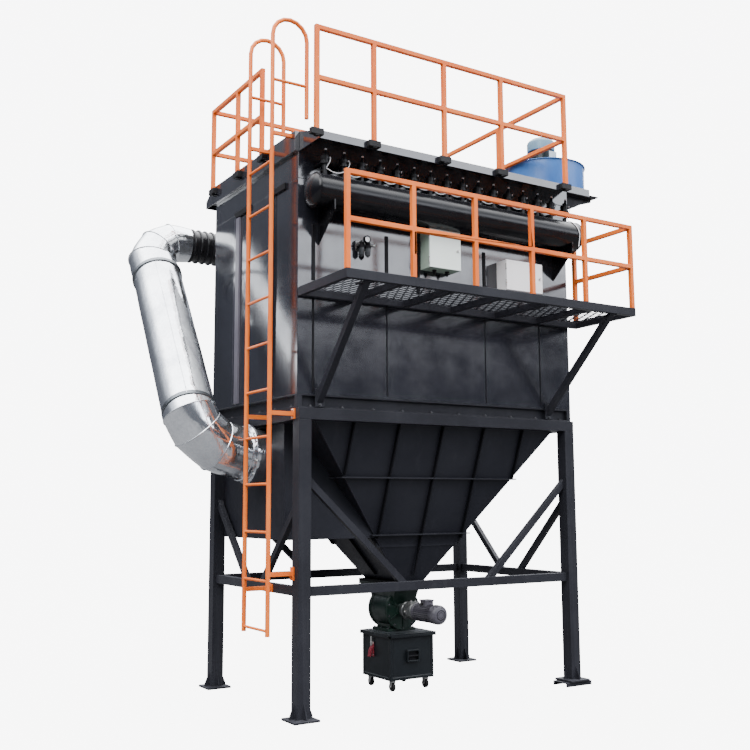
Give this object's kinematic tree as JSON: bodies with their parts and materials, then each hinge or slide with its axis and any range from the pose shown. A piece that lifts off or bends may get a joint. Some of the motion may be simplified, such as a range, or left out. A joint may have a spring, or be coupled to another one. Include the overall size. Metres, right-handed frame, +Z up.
{
  "type": "baghouse dust collector",
  "caption": "Baghouse dust collector on braced legs, with a ribbed hopper, rotary valve, dust bin, pulse header, front platform, ladder, roof rails and inlet duct",
  "frame": {"origin": "underside of the front left foot plate, at the centre of the leg", "axes": "+Z up, +X along the wide front from left to right, the front with the platform faces -Y"},
  "size_m": [4.5515, 3.415, 6.09],
  "materials": {
    "frame_paint": "satin charcoal paint",
    "body_paint": "semi-gloss charcoal paint",
    "rail_paint": "satin orange paint",
    "duct_zinc": "bright galvanised sheet",
    "duct_band": "ribbed black flexible sleeve",
    "fan_paint": "blue paint",
    "motor_paint": "grey-green paint",
    "cabinet_paint": "pale grey-green powder coat",
    "valve_paint": "dark green paint",
    "bin_paint": "dark slate paint",
    "latch_grip": "red grip",
    "gear_aluminium": "cast aluminium",
    "air_tube": "white air tube"
  },
  "bodies": {
    "collector": {"leg_front_left": "frame_paint", "leg_front_right": "frame_paint", "leg_rear_left": "frame_paint", "leg_rear_right": "frame_paint", "packing_channel": "frame_paint", "ring_beam": "frame_paint", "brace_front": "frame_paint", "brace_rear": "frame_paint", "brace_left": "frame_paint", "brace_right": "frame_paint", "base_channel": "frame_paint", "hopper": "frame_paint", "inlet_chamber": "frame_paint", "duct_bracket": "frame_paint", "platform_frame": "frame_paint", "platform_deck": "frame_paint", "platform_strut_left": "frame_paint", "platform_strut_right": "frame_paint", "fan_bracket": "frame_paint", "housing": "body_paint", "plenum": "body_paint", "roof_cap": "body_paint", "front_canopy": "body_paint", "rear_eave": "body_paint", "air_header": "body_paint", "roof_rail_front": "rail_paint", "roof_rail_left": "rail_paint", "roof_rail_right": "rail_paint", "roof_rail_rear": "rail_paint", "ladder": "rail_paint", "ladder_loop_front": "rail_paint", "ladder_loop_rear": "rail_paint", "platform_rail_front": "rail_paint", "platform_rail_right": "rail_paint", "duct_lower_elbow": "duct_zinc", "duct_riser": "duct_zinc", "duct_upper_elbow": "duct_zinc", "duct_connector": "duct_band", "fan_scroll": "fan_paint", "fan_motor": "motor_paint", "valve_motor": "motor_paint", "control_cabinet": "cabinet_paint", "junction_box": "cabinet_paint", "rotary_valve": "valve_paint", "dust_bin": "bin_paint", "bin_lid": "bin_paint", "bin_latch": "latch_grip", "valve_gearbox": "gear_aluminium", "filter_regulator": "gear_aluminium", "pulse_air_line": "air_tube"},
    "control_door": {"control_cabinet_door": "cabinet_paint"},
    "junction_door": {"junction_box_door": "cabinet_paint"}
  },
  "joints": [
    {"name": "control_door_hinge", "type": "hinge", "parent": "collector", "child": "control_door", "pos_m": [1.222, -0.1773, 4.115], "axis": [0, 0, -1], "range_deg": [0, 110]},
    {"name": "junction_door_hinge", "type": "hinge", "parent": "collector", "child": "junction_door", "pos_m": [2.132, -0.1773, 3.97], "axis": [0, 0, -1], "range_deg": [0, 110]}
  ]
}
